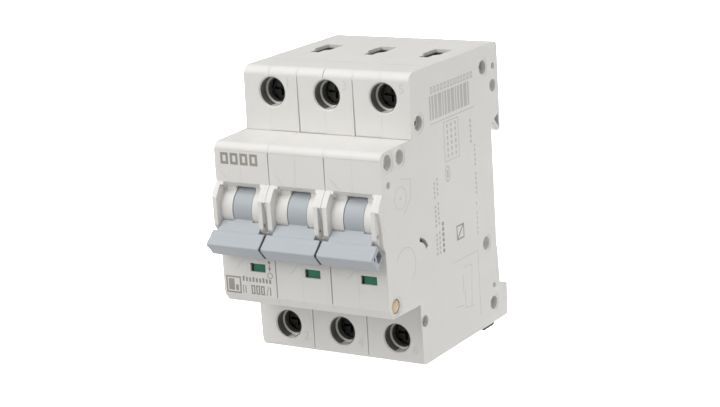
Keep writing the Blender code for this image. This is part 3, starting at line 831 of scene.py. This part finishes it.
def screw_shape(sign):
    """A terminal screw with a cross slot in its head."""
    spot = (TERMINAL_X, sign * TERMINAL_Z)
    head = [(3.0, -38.8), (3.2, -38.72), (3.34, -38.5), (3.34, -36.3), (3.1, -36.2)]
    shank = [(2.2, -36.15), (2.2, -24.8)]
    screw = turned(f"screw_{sign}", spot, head + shank, "Y", 48)
    x, z = spot
    slots = [
        block(f"screw_slot_{sign}_a", (x - 2.5, -39.5, z - 0.4), (x + 2.5, -37.2, z + 0.4)),
        block(f"screw_slot_{sign}_b", (x - 0.4, -39.5, z - 2.0), (x + 0.4, -37.2, z + 2.0)),
    ]
    return combine(screw, "DIFFERENCE", slots)


def slot_backing_shape(sign):
    """A dark plate of painted shade behind the curved slot of a side face, standing in for the shade of the
    deep slot.
    """
    band = band_outline(CURVED_SLOT, 3.5, 6.3, 10, 92, 12)
    wall = HALF_WIDTH - SIDE_WALL
    low, high = sorted((sign * (wall - 0.2), sign * (wall - 0.02)))
    return slab(f"slot_shade_plate_{sign}", band, low, high)


def collar_rivet_shape():
    """The rivet low on the collar, closed by a slightly domed head at each end."""
    head = [(0.6, 25.97), (1.5, 25.94), (1.86, 25.8), (1.93, 25.5), (1.93, 25.05), (1.25, 24.95)]
    profile = [(radius, -along) for radius, along in head] + head[::-1]
    return turned("collar_rivet", RIVET_RECESS[0], profile, "X", 32)


def flag_shape():
    """The two-coloured plate behind the window, on the lug that the handle pushes."""
    plate = slab("flag", bar(1.2, -17.5, 4.7, 8.3), FLAG_FRONT, -58.6, "Y", 0.15, 0.0, 2)
    return combine(plate, "UNION", [block("flag_rib", (1.8, -59.2, -17.2), (5.2, -57.7, -9.6))])


def clip_shape():
    """A rail clip: the long leg in its channel and the foot that a screwdriver pulls."""
    outline = rounded(
        [
            (1.3, -15.6, 0.2),
            (2.0, -15.6, 0.2),
            (4.2, -18.8, 0.5),
            (4.2, -40.8, 0),
            (4.6, -41.3, 0),
            (4.6, -43.6, 1.0),
            (-2.3, -43.6, 1.2),
            (-2.3, -40.4, 0.5),
            (1.3, -40.4, 0),
        ],
        6,
    )
    return slab("clip", outline, -4.5, 4.5, "X", 0.4, 0.4, 3)


def build_fittings():
    """Screws in near-black steel of painted shade, dark hole liners of painted shade, flags, the collar's
    rivet, dark plates of painted shade behind the side slots, and clips.
    """
    for end, sign in (("line", 1), ("load", -1)):
        # painted shade: the screws take the near-black steel
        shape = screw_shape(sign)
        for pole in POLES:
            node = f"{end}_terminal_screw_pole_{pole}"
            body = f"{end}_screw_pole_{pole}"
            show(f"{end}_screw_{pole}", shape, STEEL_PAINTED_SHADE, body, pole, 30, (node,))
        # painted shade: a dark liner and a dark bore band make each screw hole look shaded
        shape = combine(sleeve_shape(sign), "UNION", [bore_ring_shape(sign)])
        for pole in POLES:
            show(f"{end}_hole_shade_liner_{pole}", shape, HOLE_SHADE_LINER, "housing", pole, 30, ())
    shape = flag_shape()
    for pole in POLES:
        node = f"position_flag_pole_{pole}"
        show(f"flag_{pole}", shape, FLAG, f"flag_pole_{pole}", pole, 30, (node,))
    show("collar_rivet", collar_rivet_shape(), RIVET, "housing", None, 30, ("rivet_collar",))
    # painted shade: dark plates behind the curved slots of the two outer side faces
    for side, sign, pole in (("left", -1, 1), ("right", 1, 3)):
        shape = slot_backing_shape(sign)
        show(f"{side}_slot_shade_plate", shape, INNER_PLASTIC, "housing", pole, 30, ())
    shape = clip_shape()
    for pole in POLES:
        node = f"rail_clip_pole_{pole}"
        show(f"clip_{pole}", shape, BLACK, node, pole, 30, (node,))


# ---------------------------------------------------------------- numbers, prints and painted shade of moulded lines


def number_shape(text, height, low, high):
    """A numeral standing on the front from y low to y high, its lower left corner at x = 0 and z = 0."""
    curve = bpy.data.curves.new(f"numeral_{text}", "FONT")
    curve.body = text
    curve.resolution_u = 3
    curve.extrude = 0.5
    holder = bpy.data.objects.new(f"numeral_{text}", curve)
    bpy.context.scene.collection.objects.link(holder)
    graph = bpy.context.evaluated_depsgraph_get()
    mesh = bpy.data.meshes.new_from_object(holder.evaluated_get(graph))
    bpy.data.objects.remove(holder)
    heights = [vertex.co.y for vertex in mesh.vertices]
    starts = min(vertex.co.x for vertex in mesh.vertices)
    scale = height * MM / (max(heights) - min(heights))
    for vertex in mesh.vertices:
        across, up, depth = vertex.co
        y = low + (high - low) * (0.5 - depth)
        vertex.co = ((across - starts) * scale, y * MM, (up - min(heights)) * scale)
    return bpy.data.objects.new(f"numeral_{text}", mesh)


def build_numbers():
    """Terminal numbers beside the screw holes: odd above, even below, in a darker tone that is painted
    shade of their relief.
    """
    for pole in POLES:
        for number, left, bottom in ((2 * pole - 1, 5.5, 34.6), (2 * pole, 5.4, -37.05)):
            shape = number_shape(str(number), 2.65, BLOCK_FRONT - 0.06, BLOCK_FRONT + 0.2)
            shape.data.transform(Matrix.Translation((left * MM, 0, bottom * MM)))
            show(f"number_{number}", shape, NUMBER_SHADE, "housing", pole, 30, ())


def front_print():
    """Generic marks of the first pole's front, in its own millimetres across."""
    outlines = []
    for index in range(4):
        outlines += frame_strokes(-6.6 + 3.15 * index, 16.4, 2.5, 3.2, 0.75)
    for index in range(9):
        outlines.append(bar(-2.3 + 1.08 * index, -16.0, 0.62, 1.15 if index % 3 else 1.4))
    for index in range(2):
        outlines.append(bar(-2.4 + 0.8 * index, -19.4, 0.3, 2.2))
    for index in range(3):
        outlines += frame_strokes(0.35 + 1.55 * index, -19.5, 1.25, 2.6, 0.42)
    outlines.append(stroke((5.3, -19.6), (6.0, -16.9), 0.22))
    outlines.append(bar(6.4, -19.4, 0.35, 2.3))
    outlines += frame_strokes(-7.8, -19.7, 4.9, 4.8, 0.45)
    outlines.append(bar(-7.0, -18.9, 1.9, 3.2))
    outlines.append(bar(-4.7, -18.9, 0.9, 1.6))
    outlines.append(bar(6.4, -10.4, 0.7, 0.7))
    outlines.append(stroke((6.75, -10.6), (6.75, -11.5), 0.22))
    outlines.append([(6.3, -11.5), (7.2, -11.5), (6.75, -12.7)])
    outlines += ring_strokes((6.75, -13.75), 0.8, 0.2, steps=16)
    return marks("front_print", outlines, PANEL_FRONT - 0.02, PANEL_FRONT + 0.2, "Y")


def side_print():
    """Pale generic marks of the right side face: a striped block, a table and lines of dashes."""
    outlines = []
    along = -34.0
    for index in range(13):
        width = 0.7 + 0.35 * ((index * 5) % 4)
        outlines.append(bar(along, 25.4, width, 6.5))
        along += width + 0.55 + 0.2 * ((index * 3) % 3)
    for index in range(13):
        outlines += frame_strokes(-33.2 + 1.85 * index, 32.5, 1.15, 1.75, 0.3)
    outlines.append(bar(-33.8, 24.2, 24.5, 0.22))
    outlines += frame_strokes(-27.0, 12.4, 8.2, 11.1, 0.2)
    for column in (-25.4, -23.2, -20.9):
        for index in range(6):
            outlines.append(bar(column, 13.4 + 1.65 * index, 0.7, 1.0))
    outlines += ring_strokes((-25.9, 9.1), 1.3, 0.3, steps=20, stretch=1.6)
    outlines.append(bar(-26.4, 8.0, 1.0, 2.2))
    for across, low, high, width in (
        (-12.4, 14.6, 23.3, 0.8),
        (-10.5, -0.4, 15.8, 0.7),
        (-10.7, -11.9, -2.1, 0.45),
        (-33.9, -11.8, 9.1, 0.7),
        (-32.3, -11.8, 9.9, 0.7),
    ):
        count = int((high - low) / 1.3)
        step = (high - low) / count
        for index in range(count):
            if index % 6 != 5:
                outlines.append(bar(across, low + step * index, width, step * 0.62))
    return marks("side_print", outlines, PRINT_BACK, PRINT_FACE, "X")


def side_print_dark():
    """The two darker marks of the right side face."""
    outlines = frame_strokes(-22.6, -10.7, 4.25, 4.2, 0.45)
    outlines.append(stroke((-22.3, -10.4), (-18.7, -6.8), 0.55))
    for index in range(6):
        outlines.append(bar(-30.5, -11.9 + 1.5 * index, 1.0, 1.05))
    return marks("side_print_dark", outlines, PRINT_BACK, PRINT_FACE, "X")


def side_lines(sign):
    """Thin darker strips on an outer side face: painted shade standing in for the shade of its shallow
    moulded lines.
    """
    lines = (
        ((-50.73, 13.52), (-45.89, 12.36)),
        ((-45.96, 12.3), (-46.1, 7.6)),
        ((-46.1, 7.6), (-50.3, 3.6)),
        ((-25.86, -16.26), (-11.0, -16.6)),
        ((-11.0, -16.75), (-10.9, -35.5)),
        ((-19.23, -19.11), (-14.87, -19.45)),
        ((-14.9, -19.6), (-15.9, -31.1)),
        ((-20.2, -21.0), (-20.2, -26.3)),
        ((-24.88, -29.17), (-20.3, -29.81)),
        ((-19.81, -30.82), (-14.26, -31.45)),
        ((-19.3, -25.7), (-19.3, -30.6)),
    )
    outlines = [stroke(start, end, 0.22) for start, end in lines]
    rings = ring_strokes((-51.5, 8.5), 3.0, 0.18, steps=32)
    rings += ring_strokes((-51.5, 8.5), 0.3, 0.3, steps=10)
    rings += ring_strokes((-50.6, -10.3), 5.15, 0.22, -60, 150, 32)
    low, high = sorted((sign * PRINT_BACK, sign * PRINT_FACE))
    return marks(f"side_lines_{sign}", outlines + rings, low, high, "X")


def build_marks():
    """Numbers darkened as painted shade, a strip of painted shade in the groove across each pole's top, the
    prints and the painted shade lines of the outer faces.
    """
    build_numbers()
    # painted shade: a darker strip in the groove across each pole's top
    top_shade_line = marks("top_shade_line", [bar(-6.06, -33.42, 13.12, 0.24)], TOP - 0.2, TOP - 0.015, "Z")
    for pole in POLES:
        show(f"top_shade_line_{pole}", top_shade_line, GROOVE_SHADE, "housing", pole, 30, ())
    show("front_print", front_print(), PRINT, "housing", 1, 30, ())
    show("side_print", side_print(), PALE_PRINT, "housing", None, 30, ())
    show("side_print_dark", side_print_dark(), DARK_PRINT, "housing", None, 30, ())
    for side, sign in (("left", -1), ("right", 1)):
        show(f"{side}_side_lines", side_lines(sign), GROOVE_SHADE, "housing", None, 30, ())


def dress_cad_nodes():
    """Finishes for the CAD nodes that are shown as they are."""
    finishes = {
        "clamp_cage": STEEL_PAINTED_SHADE,
        "arc_chute": STEEL_PAINTED_SHADE,
        "bimetal": STEEL_PAINTED_SHADE,
        "coil_plunger": STEEL_PAINTED_SHADE,
        "trip_lever": INNER_PLASTIC,
        "rivet": PLATE,
        "terminal_plate": COPPER,
        "fixed_contact": COPPER,
        "contact_arm": COPPER,
        "trip_coil": COPPER,
    }
    for name, node in frame["nodes"].items():
        for key, finish in finishes.items():
            if key in name:
                node.data.materials.clear()
                node.data.materials.append(finish)


# ---------------------------------------------------------------- stage, light and camera


def build_stage():
    """A plain pale floor."""
    made, tree, shader = new_material("stage_white")
    cloud = noise_node(tree, 2.0)
    tone = ramp_between(tree, cloud.outputs["Fac"], (0.87, 0.87, 0.87), (0.89, 0.89, 0.89))
    tree.links.new(tone, shader.inputs["Base Color"])
    shader.inputs["Roughness"].default_value = 0.9
    bpy.ops.mesh.primitive_plane_add(size=14, location=(0, 0, FLOOR_HEIGHT))
    floor = bpy.context.object
    floor.name = "floor"
    floor.data.materials.append(made)


def add_area(name, spot, aim, size, power):
    """A rectangular soft light at a spot, turned to its aim; both in metres."""
    data = bpy.data.lights.new(name, "AREA")
    data.shape = "RECTANGLE"
    data.size, data.size_y = size
    data.energy = power
    lamp = bpy.data.objects.new(name, data)
    bpy.context.scene.collection.objects.link(lamp)
    lamp.location = spot
    lamp.rotation_euler = (Vector(aim) - Vector(spot)).to_track_quat("-Z", "Y").to_euler()
    return lamp


def build_light():
    """Soft studio light, and a bright wash on the floor behind the object."""
    world = bpy.data.worlds.new("studio")
    bpy.context.scene.world = world
    world.use_nodes = True
    background = world.node_tree.nodes["Background"]
    background.inputs["Color"].default_value = (1.0, 1.0, 1.0, 1)
    background.inputs["Strength"].default_value = WORLD_POWER
    middle = (0, -0.02, 0)
    add_area("key", (-0.34, -0.47, 0.50), middle, (0.6, 0.6), KEY_POWER)
    add_area("top", (0.0, -0.10, 0.85), middle, (0.6, 0.6), TOP_POWER)
    add_area("side", (0.60, -0.04, 0.12), middle, (0.4, 0.4), SIDE_POWER)
    add_area("front", (-0.10, -0.75, 0.20), middle, (0.5, 0.5), FRONT_POWER)
    add_area("back", (-0.20, 0.80, -0.15), middle, (0.5, 0.5), BACK_POWER)
    backdrop = add_area("backdrop", (-0.95, 2.2, 1.1), (-0.95, 2.2, 0), (3.4, 2.6), BACKDROP_POWER)
    backdrop.data.spread = math.radians(90)


def build_camera():
    """A camera in front, to the right and a little above, turned slightly about its own axis."""
    azimuth, elevation, roll = math.radians(32.127), math.radians(14.289), math.radians(-3.560)
    away, across, up_shift = 562.06, -5.083, -2.764
    target = Vector((0, -20, 0))
    forward = Vector(
        (
            -math.sin(azimuth) * math.cos(elevation),
            math.cos(azimuth) * math.cos(elevation),
            -math.sin(elevation),
        )
    )
    right = forward.cross(Vector((0, 0, 1))).normalized()
    up = right.cross(forward)
    right, up = (
        right * math.cos(roll) + up * math.sin(roll),
        up * math.cos(roll) - right * math.sin(roll),
    )
    spot = target - forward * away + right * across + up * up_shift
    data = bpy.data.cameras.new("camera")
    data.sensor_width = 36
    data.lens = 100.06
    data.clip_start = 0.01
    data.clip_end = 50
    camera = bpy.data.objects.new("camera", data)
    bpy.context.scene.collection.objects.link(camera)
    turn = Matrix((right, up, -forward)).transposed().to_4x4()
    camera.matrix_world = Matrix.Translation(spot * MM) @ turn
    bpy.context.scene.camera = camera


def write_sizes():
    """Gathers the corners of every shown mesh except the floor."""
    corners = []
    for obj in bpy.context.scene.objects:
        if obj.type == "MESH" and obj.name != "floor" and not obj.hide_render:
            corners += [obj.matrix_world @ vertex.co for vertex in obj.data.vertices]


build_housing()
build_handles()
build_fittings()
build_marks()
dress_cad_nodes()
build_stage()
build_light()
build_camera()
bpy.context.scene.view_settings.view_transform = "Standard"
bpy.context.view_layer.update()
write_sizes()
